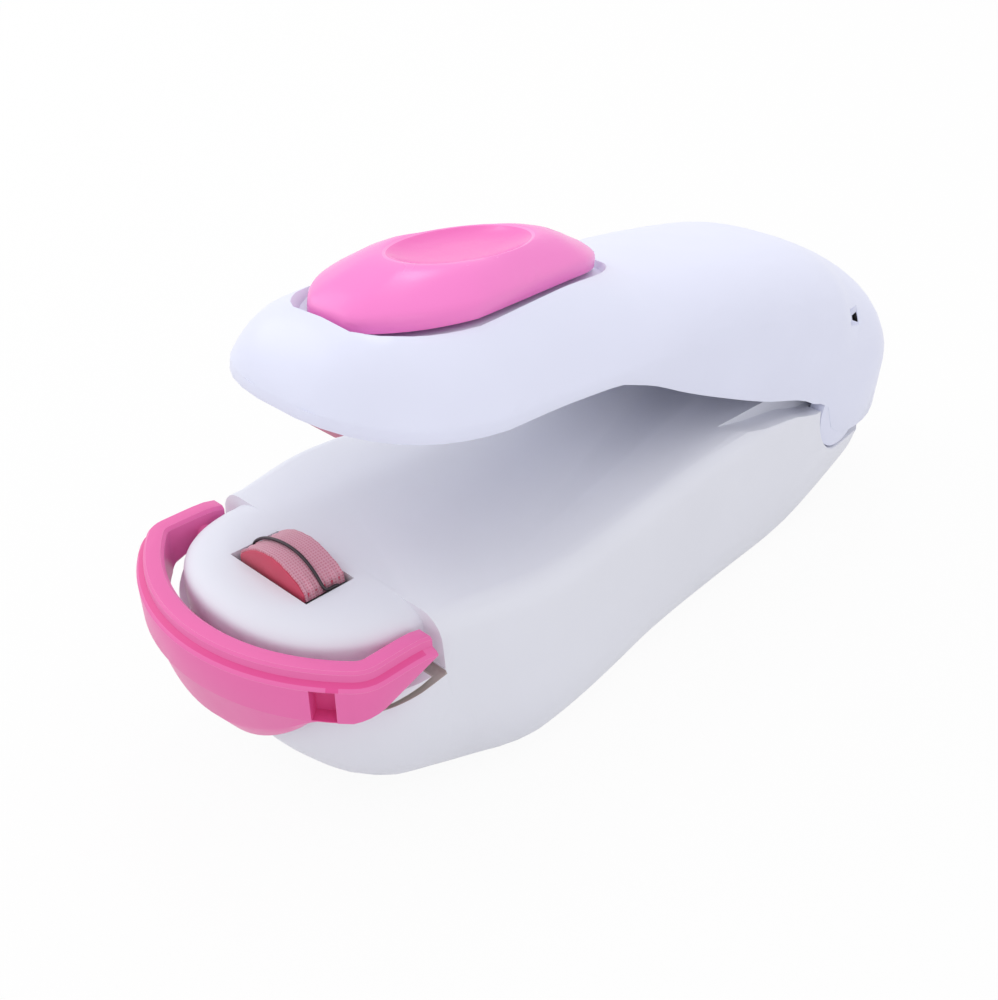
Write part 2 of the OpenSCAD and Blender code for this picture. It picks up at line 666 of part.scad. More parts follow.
module arm_room() {
    rise = 0.05;
    skin([for (i = [0 : 44])
        let (y = mix(plate_front - 1, arm_end - arm_wall, i / 44),
             a = y > arm_end - arm_round ?
                 (ear_out - arm_wall)
                     * bulge((y - arm_end + arm_round) / (arm_round - arm_wall + 0.1), arm_power) :
                 arm_half(y) - arm_wall,
             over_plate = plate_top - rim_z,
             band = mix(over_plate + rise, min(band_z(y), over_plate), ease((y - plate_back) / 5)),
             under = recess_z(y) - recess_floor_t,
             over = arm_crown(y) - arm_wall * (1 + 0.8 * ease((y - 104) / 14)),
             crown = mix(min(under, over), over, ease((y - button_front - button_l - 2) / 6)),
             low = arm_low(y))
        arm_row(y, max(a, 0.5), low - 3, crown > band + 1 ? band : mix(low, crown, 0.4), crown)]);
}

screw_places = [[-10.5, 33], [10.5, 33], [0, 66]];
screw_d = 2;

module arm_shell() color([0.86, 0.88, 0.98]) open_arm() {
    difference() {
        arm_solid();
        button_room();
        arm_room();
        translate([0, boss_y, rim_z]) cylinder(d = boss_hole_d, h = crown_h);
        box(-upper_pad_w / 2 - 0.5, upper_pad_w / 2 + 0.5, upper_front - 0.4, plate_front + 0.5, rim_z - 1,
            rim_z + 0.9);
        box(-carrier_w / 2 - 0.5, carrier_w / 2 + 0.5, upper_front + 3, plate_front + 0.5, rim_z,
            carrier_top + 0.3);
        translate([ear_out - 1, strap_y, strap_z]) rotate([0, 69, 12]) {
            translate([0, 0, 0.5 - strap_d]) rotate(45)
                cylinder(d1 = strap_hole * sqrt(2), d2 = strap_pocket, h = strap_d, $fn = 4);
            cube([strap_hole, strap_hole, 12], center = true);
        }
    }
    both() {
        rod_x(2 * ear_r, ear_in, ear_out, hinge_y, hinge_z);
        rod_x(stud_d, ear_in - stud_l, ear_in + join, hinge_y, hinge_z);
    }
    for (p = screw_places) translate([p[0], p[1], plate_top + touch]) difference() {
        cylinder(d = 5, h = min(dome_z(abs(p[0]) + 2.5, p[1]), recess_z(p[1])) + rim_z - plate_top - 0.6);
        translate([0, 0, -1]) cylinder(d = screw_d + 2 * touch, h = 4);
    }
}

function plate_half(y) = arm_half(y) - arm_wall - plate_clear;

module arm_plate() color([0.82, 0.84, 0.93]) open_arm() translate([0, 0, plate_low]) difference() {
    steps = 26;
    edge = [for (i = [0 : steps]) let (y = mix(plate_front, plate_back, i / steps)) [plate_half(y), y]];
    linear_extrude(plate_t) polygon(concat(edge, [for (i = [steps : -1 : 0]) [-edge[i][0], edge[i][1]]]));
    box(-carrier_w / 2 - 0.5, carrier_w / 2 + 0.5, plate_front - 1, boss_y, -1, plate_t + 1);
    translate([0, boss_y, -1]) cylinder(d = carrier_w + 1, h = plate_t + 2);
    for (p = screw_places) translate([p[0], p[1], -1]) cylinder(d = screw_d + 0.2, h = plate_t + 2);
}

module arm_screws() color([0.70, 0.70, 0.72]) open_arm() for (p = screw_places)
    translate([p[0], p[1], plate_low - touch]) difference() {
        union() {
            translate([0, 0, -1.2]) cylinder(d = 4, h = 1.2);
            translate([0, 0, -join]) cylinder(d = screw_d, h = plate_t + 2 + join);
        }
        translate([0, 0, -1.7]) rotate(45) cube([2, 0.5, 1], center = true);
        translate([0, 0, -1.7]) rotate(-45) cube([2, 0.5, 1], center = true);
    }

// Button and upper jaw

spring_room_z = button_edge(boss_y) + 0.2;

// A ring of the button: its outline drawn in towards the oval dish by u, or the dish itself shrunk by k
function button_ring(u, k, lift) =
    let (side = [for (y = button_stations) [button_half(y), y]], n = len(side),
         round = concat([for (q = side) [-q[0], q[1]]], [for (i = [n - 1 : -1 : 0]) side[i]]))
    [for (p = round)
        let (a = atan2((p[1] - dish_y) / button_l * button_w, p[0]),
             q = [dish_half * k * cos(a), dish_y + dish_l / 2 * k * sin(a)],
             r = [mix(p[0], q[0], u), mix(p[1], q[1], u)])
        [r[0], r[1], rim_z + mix(button_edge(p[1]), button_rim(r[1]), u) + lift]];

module press_button() color([0.96, 0.58, 0.82]) open_arm() difference() {
    foot = button_travel + 0.15 - button_wall;
    union() {
        skin([button_ring(0, 1, foot), button_ring(0, 1, -0.7), button_ring(0.03, 1, -0.25),
              button_ring(0.09, 1, 0), button_ring(0.4, 1, 0.25), button_ring(0.75, 1, 0.2),
              button_ring(0.95, 1, 0.05), button_ring(1, 1, -0.1), button_ring(1, 0.93, -0.3 * dish_d),
              button_ring(1, 0.75, -0.75 * dish_d), button_ring(1, 0.4, -dish_d),
              button_ring(1, 0.1, -1.03 * dish_d)]);
        translate([0, boss_y, carrier_top + touch])
            cylinder(d = boss_d, h = rim_z + recess_z(boss_y) + 3 - carrier_top);
    }
    translate([0, boss_y, rim_z]) difference() {
        cylinder(d = spring_room_d, h = spring_room_z);
        cylinder(d = boss_d, h = spring_room_z + 1);
    }
    translate([0, boss_y, carrier_top - 1]) cylinder(d = screw_d + 2 * touch, h = 4.2);
}

module jaw_carrier() color([0.84, 0.86, 0.95]) open_arm() difference() {
    union() {
        box(-upper_pad_w / 2, upper_pad_w / 2, upper_front, upper_front + pad_d, carrier_low, rim_z + 0.6);
        along_x(-carrier_w / 2, carrier_w / 2) polygon([[upper_front + 1, carrier_low], [boss_y, carrier_low],
            [boss_y, carrier_top], [upper_front + 5, carrier_top], [upper_front + 3.5, rim_z + 0.6],
            [upper_front + 1, rim_z + 0.6]]);
        translate([0, boss_y, carrier_low]) cylinder(d = carrier_w, h = carrier_top - carrier_low);
    }
    translate([0, boss_y, carrier_low - 1]) cylinder(d = screw_d + 0.2, h = 8);
    translate([0, boss_y, carrier_low - 1]) cylinder(d = 4.4, h = 2.1);
}

module carrier_screw() color([0.70, 0.70, 0.72]) open_arm() translate([0, boss_y, carrier_low]) difference() {
    union() {
        cylinder(d = 4, h = 1.1 - touch);
        cylinder(d = screw_d, h = carrier_top - carrier_low + 2.8);
    }
    rotate(45) cube([2, 0.5, 1], center = true);
    rotate(-45) cube([2, 0.5, 1], center = true);
}

module upper_pad() color([0.90, 0.62, 0.72]) open_arm()
    box(-upper_pad_w / 2, upper_pad_w / 2, upper_front, upper_front + pad_d, jaw_low, carrier_low - touch);

module button_spring() color([0.76, 0.76, 0.78]) open_arm() translate([0, boss_y, rim_z])
    coil(spring_room_d / 2 - button_wire_d / 2 - 0.3, boss_d / 2 + button_wire_d / 2 + 0.6, button_wire_d,
         recess_z(boss_y) + button_wire_d / 2 + 0.05, spring_room_z - button_wire_d / 2 - 0.05, 1.8);

module arm_spring() color([0.76, 0.76, 0.78]) place() translate([0, spring_y, 0]) {
    rise = (hinge_y - spring_y) * tan(arm_open) + (plate_low - hinge_z) / cos(arm_open) + hinge_z;
    drop = (arm_spring_d / 2) * tan(arm_open);
    coil(arm_spring_d / 2 - arm_wire_d / 2, arm_spring_d / 2 - arm_wire_d / 2, arm_wire_d,
         spring_low + arm_wire_d / 2 + touch, rise - drop - arm_wire_d / 2 - 0.1, 5.5);
}

// Lock bail

bend_r = 2.5;
arm_ledge = pivot_z - 2.7;
bow_lean = asin((lock_half - bend_r) / (lock_bow_r - bend_r));
bow_y = lock_bend + (lock_bow_r - bend_r) * cos(bow_lean);
arm_tip = pivot_y + 3.2;
apron_lean = 33.5;
window_w = 2.8;
window_h = 4.4;
window_d = 2.4;

function bail_row(x, y, lean, top, low, apron) =
    let (c = [x, y], n = [sin(lean), -cos(lean)], ri = -ridge_w / 2, ro = ridge_w / 2, lip = ro + lip_w,
         mid_n = lip - 0.6 - 1.3 * apron, mid_z = low - 0.4 - apron_h * 0.6 * apron,
         end_n = lip - 1 - (apron_in - 0.7) * apron, end_z = low - 0.6 - apron_h * apron)
    [for (p = [[ri, top - 0.4], [ri + 0.4, top], [ro - 0.3, top], [ro, top - 0.3],
               [ro + 0.05, top - lip_drop + 0.3], [lip - 0.3, top - lip_drop],
               [lip, top - lip_drop - 0.4], [lip - 0.1, low], [lip - 0.5, low - 0.15], [mid_n, mid_z],
               [end_n, end_z], [mix(ri + 1, end_n - 1, apron), end_z + 1.1 * apron],
               [mix(ri + 0.4, mid_n - 1.9, apron), mid_z + 0.5 * apron], [ri + 0.1, low]])
        let (q = c + n * p[0]) [q[0], q[1], p[1]]];

// Half of the bail from its tip: the arm that thins to the tip, the bend and the bow with its apron
function bail_half() = let (low = lock_top - band_h)
    concat([for (t = [0 : 0.2 : 1]) let (y = mix(arm_tip, lock_bend, t))
                bail_row(lock_half, y, 90, lock_top - 0.5 * pow(1 - t, 6), mix(lock_top - 2.5, low + 1, t),
                         0)],
           [for (t = [0.25 : 0.25 : 0.75]) let (b = mix(90, bow_lean, t))
                bail_row(lock_half - bend_r + bend_r * sin(b), lock_bend - bend_r * cos(b), b, lock_top,
                         mix(low + 1, low, t), 0)],
           [for (t = [1 : -0.0625 : 0.01]) let (b = bow_lean * t)
                bail_row(lock_bow_r * sin(b), bow_y - lock_bow_r * cos(b), b, lock_top, low,
                         pow(cos(90 * clamp(b / apron_lean)), 0.8))]);

module lock_bail() color([0.89, 0.48, 0.70]) place() {
    half = bail_half();
    n = len(half);
    front = bail_row(0, bow_y - lock_bow_r, 0, lock_top, lock_top - band_h, 1);
    other = [for (i = [n - 1 : -1 : 0]) [for (p = half[i]) [-p[0], p[1], p[2]]]];
    window = asin((lock_half - 3) / lock_bow_r);
    difference() {
        skin(concat(half, [front], other));
        both() translate([lock_bow_r * sin(window), bow_y - lock_bow_r * cos(window), lock_top - band_h - 0.2])
            rotate(window) translate([-window_w / 2, -ridge_w / 2 - lip_w - join, 0])
            cube([window_w, window_d + join, window_h]);
    }
    both() rod_x(pivot_d, nose_w / 2 - 2, lock_half - ridge_w / 2 + join, pivot_y, pivot_z);
}

base_shell();
battery_door();
battery_left();
battery_right();
bridge_contact();
bridge_spring();
positive_contact();
negative_contact();
negative_spring();
heater_block();
switch_rivet();
heater_pad();
pad_cloth();
heating_wire();
heater_spring();
arm_shell();
arm_plate();
arm_screws();
press_button();
jaw_carrier();
carrier_screw();
upper_pad();
button_spring();
arm_spring();
lock_bail();
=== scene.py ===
import json
import math
import bpy
import bmesh
from mathutils import Matrix, Vector


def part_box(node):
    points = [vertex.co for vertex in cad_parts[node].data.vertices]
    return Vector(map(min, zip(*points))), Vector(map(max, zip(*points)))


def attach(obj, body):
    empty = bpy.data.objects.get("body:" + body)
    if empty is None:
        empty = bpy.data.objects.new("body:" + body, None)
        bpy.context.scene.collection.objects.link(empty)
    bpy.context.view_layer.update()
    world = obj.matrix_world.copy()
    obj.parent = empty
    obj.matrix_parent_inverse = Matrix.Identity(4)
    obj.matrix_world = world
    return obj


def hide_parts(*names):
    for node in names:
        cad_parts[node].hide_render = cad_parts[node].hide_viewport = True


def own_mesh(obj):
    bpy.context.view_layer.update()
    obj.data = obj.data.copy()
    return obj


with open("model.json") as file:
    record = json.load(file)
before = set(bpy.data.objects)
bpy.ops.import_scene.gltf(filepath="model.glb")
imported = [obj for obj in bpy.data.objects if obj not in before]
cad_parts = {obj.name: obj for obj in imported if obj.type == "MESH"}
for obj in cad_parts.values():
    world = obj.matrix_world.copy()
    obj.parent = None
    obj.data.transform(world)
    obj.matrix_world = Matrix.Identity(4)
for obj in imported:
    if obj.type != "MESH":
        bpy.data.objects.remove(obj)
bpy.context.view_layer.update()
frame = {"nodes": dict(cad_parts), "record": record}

# Camera
# The photo looks down on the front right corner of the sealer, through a 45 mm lens on a 36 mm sensor.
# Its turn, rise and place were fitted to the outline of the base and the pads.
TURN = math.radians(43.942)
RISE = math.radians(32.116)
EYE = Vector((0.098667, -0.108972, 0.108677))
LENS = 45.0
SENSOR = 36.0
NEAREST = 0.005
right = Vector((math.cos(TURN), math.sin(TURN), 0.0))
back = Vector((math.sin(TURN) * math.cos(RISE), -math.cos(TURN) * math.cos(RISE), math.sin(RISE)))
up = back.cross(right)
optics = bpy.data.cameras.new("camera")
optics.lens = LENS
optics.sensor_width = SENSOR
optics.clip_start = NEAREST
camera = bpy.data.objects.new("camera", optics)
camera.matrix_world = Matrix.Translation(EYE) @ Matrix((right, up, back)).transposed().to_4x4()
bpy.context.scene.collection.objects.link(camera)
bpy.context.scene.camera = camera
bpy.context.scene.view_settings.view_transform = "Standard"


# Studio
# A white paper table in a pale room. A large soft box lights it from the left, a weaker one from the
# right, and a small one from high behind.
# Paper and room are white to the eye and in reflections, and only the paper takes the shadow.
class Value:
    """A socket of a node tree. Sums on it add Math nodes, and node() adds any other node."""

    def __init__(self, tree, socket):
        self.tree = tree
        self.socket = socket

    def node(self, kind, settings, inputs, out=0):
        made = self.tree.nodes.new(kind)
        for name, setting in settings.items():
            setattr(made, name, setting)
        for name, given in inputs.items():
            if isinstance(given, Value):
                self.tree.links.new(given.socket, made.inputs[name])
            else:
                made.inputs[name].default_value = given
        return Value(self.tree, made.outputs[out]) if made.outputs else None

    def math(self, operation, first, second=0.0):
        return self.node("ShaderNodeMath", {"operation": operation}, {0: first, 1: second})

    def blend(self, low, high):
        """A colour between two, by this value."""
        ends = {"A": low if isinstance(low, Value) else (*low, 1.0),
                "B": high if isinstance(high, Value) else (*high, 1.0)}
        return self.node("ShaderNodeMix", {"data_type": "RGBA"}, {"Factor": self, **ends}, "Result")

    def feed(self, socket):
        self.tree.links.new(self.socket, socket)

    def __add__(self, other):
        return self.math("ADD", self, other)

    def __sub__(self, other):
        return self.math("SUBTRACT", self, other)

    def __rsub__(self, other):
        return self.math("SUBTRACT", other, self)

    def __mul__(self, other):
        return self.math("MULTIPLY", self, other)

    def __gt__(self, other):
        return self.math("GREATER_THAN", self, other)

    def __lt__(self, other):
        return self.math("LESS_THAN", self, other)

    def __abs__(self):
        return self.math("ABSOLUTE", self)

    __radd__ = __add__
    __rmul__ = __mul__


def white_to_rays(tree):
    """1 for rays from the camera, from a mirror and through glass, else 0."""
    path = tree.nodes.new("ShaderNodeLightPath").outputs
    direct = Value(tree, path["Is Camera Ray"])
    mirrored = direct.math("MAXIMUM", direct, Value(tree, path["Is Glossy Ray"]))
    return direct.math("MAXIMUM", mirrored, Value(tree, path["Is Transmission Ray"]))


WHITE = (1.0, 1.0, 1.0, 1.0)
ROOM_TINT = (1.0, 0.985, 0.975, 1.0)
SKY_LOW = 0.72
SKY_HIGH = 1.08
world = bpy.data.worlds.new("studio")
bpy.context.scene.world = world
world.use_nodes = True
world.node_tree.nodes.clear()
seen = white_to_rays(world.node_tree)
aim = Value(world.node_tree, world.node_tree.nodes.new("ShaderNodeTexCoord").outputs["Generated"])
height = aim.node("ShaderNodeSeparateXYZ", {}, {0: aim}, "Z")
sky = SKY_LOW + (SKY_HIGH - SKY_LOW) * height.math("MAXIMUM", height, 0.0)
room = seen.node("ShaderNodeBackground", {}, {"Color": ROOM_TINT, "Strength": sky})
blank = seen.node("ShaderNodeBackground", {}, {"Color": WHITE, "Strength": 1.0})
shown = seen.node("ShaderNodeMixShader", {}, {0: seen, 1: room, 2: blank})
seen.node("ShaderNodeOutputWorld", {}, {"Surface": shown})

TABLE_HALF = 1.6
PAPER_GREY = (0.8, 0.8, 0.8, 1.0)
PAPER_GLOW = 0.93
table = bmesh.new()
bmesh.ops.create_grid(table, x_segments=1, y_segments=1, size=TABLE_HALF)
table_mesh = bpy.data.meshes.new("table")
table.to_mesh(table_mesh)
table.free()
floor = bpy.data.objects.new("table", table_mesh)
bpy.context.scene.collection.objects.link(floor)
paper = bpy.data.materials.new("white_paper")
paper.use_nodes = True
paper.node_tree.nodes.clear()
looked_at = white_to_rays(paper.node_tree)
glow = looked_at.node("ShaderNodeEmission", {}, {"Color": WHITE, "Strength": 1.0})
matt = looked_at.node("ShaderNodeBsdfDiffuse", {}, {"Color": PAPER_GREY})
sheet = looked_at.node("ShaderNodeMixShader", {}, {0: PAPER_GLOW * looked_at, 1: matt, 2: glow})
looked_at.node("ShaderNodeOutputMaterial", {}, {"Surface": sheet})
table_mesh.materials.append(paper)

LAMP_TINT = (0.93, 0.96, 1.0)
LAMP_TARGET = Vector((0.0, 0.0, 0.02))


def soft_box(name, place, width, watts):
    """A square lamp at a place, aimed at the middle of the sealer."""
    lamp = bpy.data.lights.new(name, "AREA")
    lamp.shape = "SQUARE"
    lamp.size = width
    lamp.energy = watts
    lamp.color = LAMP_TINT
    stand = bpy.data.objects.new(name, lamp)
    stand.location = place
    stand.rotation_euler = (LAMP_TARGET - Vector(place)).to_track_quat("-Z", "Y").to_euler()
    bpy.context.scene.collection.objects.link(stand)


soft_box("soft_box_left", (-0.6, -0.25, 0.42), width=0.5, watts=1.3)
soft_box("soft_box_right", (0.7, -0.3, 0.45), width=0.5, watts=0.55)
soft_box("soft_box_behind", (-0.33, 0.34, 0.76), width=0.2, watts=0.7)


# Base shell
# One white ABS moulding: the nose with the heater's pocket, the battery bay and the hinge block.
# The mould rounds its edges and leaves a fine satin grain, with a slight cloudiness in the white.
CLOUD_DEPTH = 0.94
CLOUD_DULLS = 0.1
SMEAR_DULLS = 0.14
WORN_AND_LIT_PALER = 0.3
DUST_AND_SHADE_POWER = 1.5
CORNER_SHARE = 0.8


def moulded_plastic(name, colour, rough, grain, shine, painted_light=None):
    """A moulded plastic: its colour clouds a little, and a fine grain and faint smears break up its gloss.

    By the attribute "corner" it is paler on rounded edges, for wear and a painted highlight, and deeper in
    corners, for dust and painted shade.
    The function painted_light, given the place and the colour there, gives the colour with painted shade or
    a painted highlight in it.
    """
    made = bpy.data.materials.new(name)
    made.use_nodes = True
    tree = made.node_tree
    skin = tree.nodes["Principled BSDF"]
    place = Value(tree, tree.nodes.new("ShaderNodeTexCoord").outputs["Object"])
    cloud = place.node("ShaderNodeTexNoise", {}, {"Vector": place, "Scale": 55.0, "Detail": 3.0})
    smear = place.node("ShaderNodeTexNoise", {},
                       {"Vector": place, "Scale": 190.0, "Detail": 4.0, "Distortion": 1.2})
    speck = place.node("ShaderNodeTexNoise", {}, {"Vector": place, "Scale": 2600.0, "Detail": 2.0})
    deep = tuple(CLOUD_DEPTH * part for part in colour)
    worn_and_lit = tuple(part + WORN_AND_LIT_PALER * (1.0 - part) for part in colour)
    dusty_and_shaded = tuple(part ** DUST_AND_SHADE_POWER for part in colour)
    corner = place.node("ShaderNodeAttribute", {"attribute_name": "corner"}, {}, "Fac")
    # Rounded edges turn paler, for wear and a painted highlight; corners turn deeper, for dust and painted
    # shade.
    shade = (CORNER_SHARE * (corner > 0.5)).blend(cloud.blend(deep, colour), worn_and_lit)
    shade = (CORNER_SHARE * (corner < -0.5)).blend(shade, dusty_and_shaded)
    if painted_light:
        shade = painted_light(place, shade)
    shade.feed(skin.inputs["Base Color"])
    (rough + CLOUD_DULLS * (cloud - 0.5) + SMEAR_DULLS * (smear - 0.5)).feed(skin.inputs["Roughness"])
    bump = place.node("ShaderNodeBump", {}, {"Height": speck, "Strength": grain, "Distance": 0.00004})
    bump.feed(skin.inputs["Normal"])
    skin.inputs["Specular IOR Level"].default_value = shine
    return made


def body_of(node):
    """The body that a node moves with."""
    return next(body for body, members in frame["record"]["behaviour"]["bodies"].items() if node in members)


def placed(name, mesh, finish, node):
    """A piece with its finish, which rides with a node's body and stands for the node."""
    mesh.materials.clear()
    mesh.materials.append(finish)
    piece = bpy.data.objects.new(name, mesh)
    bpy.context.scene.collection.objects.link(piece)
    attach(piece, body_of(node))
    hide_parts(node)
    return piece


WELD = 0.000003
FLAT_TURN = math.radians(0.3)
JOIN_TURN = math.radians(14)
JOIN_SHAPE = math.radians(70)
KEEN_TURN = math.radians(34)
HOLD_TURN = math.radians(25)
SHARP_TURN = math.radians(38)
UNDERSIDE = -0.8
FAIR_SPAN = 0.008
FAIR_MOVE = 0.00007
FAIR_ROUNDS = 3


def keen_edges(solid):
    """The edges that the mould rounds, because two faces meet there at a clear angle."""
    return [line for line in solid.edges if line.is_manifold and line.calc_face_angle() > KEEN_TURN]


def faces_out(face, core):
    """Whether a face looks away from a core line, given by a point and its way, and isn't an underside."""
    start, way = core
    away = face.calc_center_median() - start
    return face.normal.dot(away - away.dot(way) * way) > 0.0 and face.normal.z > UNDERSIDE


def make_fair(solid, core):
    """Make the skin that faces out from a core line smooth.

    The solid is parted at its keen edges, the skin's facets are cut once more and swell to a smooth run,
    and all is joined again. Then the skin is evened out, by at most FAIR_MOVE off the surface.
    """
    bmesh.ops.split_edges(solid, edges=keen_edges(solid))
    solid.normal_update()
    outer = {face for face in solid.faces if faces_out(face, core)}
    soft = [line for line in solid.edges if line.is_manifold and outer.issuperset(line.link_faces)
            and line.calc_length() < FAIR_SPAN]
    bmesh.ops.subdivide_edges(solid, edges=soft, cuts=1, smooth=1.0, use_grid_fill=True)
    bmesh.ops.remove_doubles(solid, verts=solid.verts, dist=WELD)
    held = {point for line in solid.edges if not line.is_manifold or line.calc_face_angle() > HOLD_TURN
            for point in line.verts}
    for face in solid.faces:
        if not faces_out(face, core):
            held.update(face.verts)
    free = {point: point.co.copy() for point in solid.verts if point not in held}
    for _ in range(FAIR_ROUNDS):
        bmesh.ops.smooth_vert(solid, verts=list(free), factor=0.5,
                              use_axis_x=True, use_axis_y=True, use_axis_z=True)
    for point, before in free.items():
        moved = (point.co - before).dot(point.normal)
        point.co -= (moved - max(-FAIR_MOVE, min(FAIR_MOVE, moved))) * point.normal


def cast(name, node, finish, edge=0.0, core=None):
    """A copy of a solid with its facets joined and its keen edges rounded, as a mould leaves them.

    The attribute "corner" is 1 on a rounded edge that stands out, which the finish paints paler for wear and
    a painted highlight, and -1 in a corner, which it paints deeper for dust and painted shade.
    With a core line, given by a point and its way, the skin that faces out from it is made smooth.
    """
    solid = bmesh.new()
    solid.from_mesh(frame["nodes"][node].data)
    bmesh.ops.remove_doubles(solid, verts=solid.verts, dist=WELD)
    bmesh.ops.dissolve_limit(solid, angle_limit=FLAT_TURN, verts=solid.verts, edges=solid.edges)
    bmesh.ops.join_triangles(solid, faces=solid.faces, angle_face_threshold=JOIN_TURN,
                             angle_shape_threshold=JOIN_SHAPE)
    if core:
        make_fair(solid, core)
    keen = keen_edges(solid)
    corner = solid.faces.layers.float.new("corner")
    if edge:
        rounded = bmesh.ops.bevel(solid, geom=keen, offset=edge, segments=2, profile=0.5, affect="EDGES",
                                  clamp_overlap=True, material=-1)
        for face in rounded["faces"]:
            bend = sum(line.calc_face_angle_signed(0.0) for line in face.edges)
            face[corner] = math.copysign(1.0, bend)
    mesh = bpy.data.meshes.new(name)
    solid.to_mesh(mesh)
    solid.free()
    if "custom_normal" in mesh.attributes:
        mesh.attributes.remove(mesh.attributes["custom_normal"])
    mesh.shade_smooth()
    mesh.set_sharp_from_angle(angle=SHARP_TURN)
    return placed(name, mesh, finish, node)


SLOT_MIDDLE = (0.0, -0.0401, 0.0186)
SLOT_ALONG = Vector((0.0, 0.00665, 0.0018)).normalized()
SLOT_ACROSS = (0.0, -SLOT_ALONG.z, SLOT_ALONG.y)
SLOT_HALF = 0.0040
SLOT_RISE = 0.00043
SLOT_TAPER = 0.05
SLOT_INNER = 0.0152
SLOT_SHADE_COLOUR = (0.40, 0.35, 0.34)


def offset_along(place, middle, way):
    """How far a place lies from a middle, along one way."""
    away = place.node("ShaderNodeVectorMath", {"operation": "SUBTRACT"}, {0: place, 1: middle})
    return away.node("ShaderNodeVectorMath", {"operation": "DOT_PRODUCT"}, {0: away, 1: way}, "Value")


def slot_painted_shade(place, shade):
    """Painted shade in the slot under each arm of the bail, which is higher at its rear end than at its
    front.
    """
    along = offset_along(place, SLOT_MIDDLE, SLOT_ALONG)
    across = abs(offset_along(place, SLOT_MIDDLE, SLOT_ACROSS))
    outward = abs(offset_along(place, SLOT_MIDDLE, (1.0, 0.0, 0.0)))
    inside = (across < SLOT_RISE + SLOT_TAPER * along) * (abs(along) < SLOT_HALF) * (outward > SLOT_INNER)
    return inside.blend(shade, SLOT_SHADE_COLOUR)


base_core = (Vector((0.0, 0.0, 0.012)), Vector((0.0, 1.0, 0.0)))
# The base's white carries painted shade, a brownish dark, in the slot under each arm of the bail.
shell_white = moulded_plastic("white_abs", (0.76, 0.775, 0.86), rough=0.40, grain=0.12, shine=0.3,
                              painted_light=slot_painted_shade)
cast("base_moulding", "base_shell", shell_white, edge=0.00025, core=base_core)


# Battery door
# A flat lid of the same white ABS, with grip grooves near its rear edge.
# It closes the bay from below, and swings on two tabs at its front.
cast("door_moulding", "battery_door", shell_white, edge=0.00015)


# Cells
# Two AA cells in a plain dark plastic sleeve, with bare steel at both ends and a gold ring at the plus end.
# They lie side by side in the bay, one turned end for end.
CELL_LENGTH = 0.0505
CELL_EDGE = 0.00015
BARE_END = 0.0012
RING_END = 0.0105
SLEEVE_DARK = (0.035, 0.038, 0.045)
SLEEVE_RING = (0.62, 0.40, 0.16)
BARE_STEEL = (0.62, 0.62, 0.64)


def cell_sleeve(name, node, plus):
    """A sleeve that leaves the ends bare. plus is -1 for a plus end in front, and 1 for one behind."""
    low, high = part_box(node)
    middle = (low[1] + high[1]) / 2
    made = bpy.data.materials.new(name)
    made.use_nodes = True
    tree = made.node_tree
    skin = tree.nodes["Principled BSDF"]
    place = Value(tree, tree.nodes.new("ShaderNodeTexCoord").outputs["Object"])
    along = plus * (place.node("ShaderNodeSeparateXYZ", {}, {0: place}, "Y") - middle)
    bare = abs(along) > CELL_LENGTH / 2 - BARE_END
    ring = along > CELL_LENGTH / 2 - RING_END
    scuff = place.node("ShaderNodeTexNoise", {}, {"Vector": place, "Scale": 420.0, "Detail": 5.0})
    sleeve = ring.blend(SLEEVE_DARK, SLEEVE_RING)
    bare.blend(sleeve, BARE_STEEL).feed(skin.inputs["Base Color"])
    bare.feed(skin.inputs["Metallic"])
    (0.3 + 0.22 * (scuff - 0.5)).feed(skin.inputs["Roughness"])
    bump = place.node("ShaderNodeBump", {}, {"Height": scuff, "Strength": 0.1, "Distance": 0.00003})
    bump.feed(skin.inputs["Normal"])
    return made


left_sleeve = cell_sleeve("left_cell_sleeve", "battery_left", -1)
right_sleeve = cell_sleeve("right_cell_sleeve", "battery_right", 1)
cast("cell_left", "battery_left", left_sleeve, edge=CELL_EDGE)
cast("cell_right", "battery_right", right_sleeve, edge=CELL_EDGE)


# Contacts and their coils
# Stamped plates and strips with a bump for each plus end, and two conical coils for the minus ends.
# The coils and the bridge are nickelled steel, and the plus strip is brass.
STAMPED_EDGE = 0.0001


def drawn_metal(name, colour, rough, stretch):
    """A rolled or drawn metal: fine lines along one axis, and a slow change in its shine."""
    made = bpy.data.materials.new(name)
    made.use_nodes = True
    tree = made.node_tree
    skin = tree.nodes["Principled BSDF"]
    skin.inputs["Metallic"].default_value = 1.0
    place = Value(tree, tree.nodes.new("ShaderNodeTexCoord").outputs["Object"])
    drawn = place.node("ShaderNodeMapping", {}, {"Vector": place, "Scale": stretch})
    lines = place.node("ShaderNodeTexNoise", {}, {"Vector": drawn, "Scale": 900.0, "Detail": 3.0})
    tarnish = place.node("ShaderNodeTexNoise", {}, {"Vector": place, "Scale": 150.0, "Detail": 3.0})
    dull = tuple(0.78 * part for part in colour)
    tarnish.blend(dull, colour).feed(skin.inputs["Base Color"])
    (rough + 0.2 * (lines - 0.5)).feed(skin.inputs["Roughness"])
    bump = place.node("ShaderNodeBump", {}, {"Height": lines, "Strength": 0.12, "Distance": 0.00002})
    bump.feed(skin.inputs["Normal"])
    return made


nickel = drawn_metal("nickelled_steel", (0.66, 0.66, 0.68), rough=0.3, stretch=(0.1, 1.0, 1.0))
brass = drawn_metal("rolled_brass", (0.74, 0.56, 0.26), rough=0.32, stretch=(1.0, 0.1, 1.0))
cast("bridge_plate", "bridge_contact", nickel, edge=STAMPED_EDGE)
cast("bridge_coil", "bridge_spring", nickel)
cast("plus_plate", "positive_contact", brass, edge=STAMPED_EDGE)
cast("minus_plate", "negative_contact", nickel, edge=STAMPED_EDGE)
cast("minus_coil", "negative_spring", nickel)


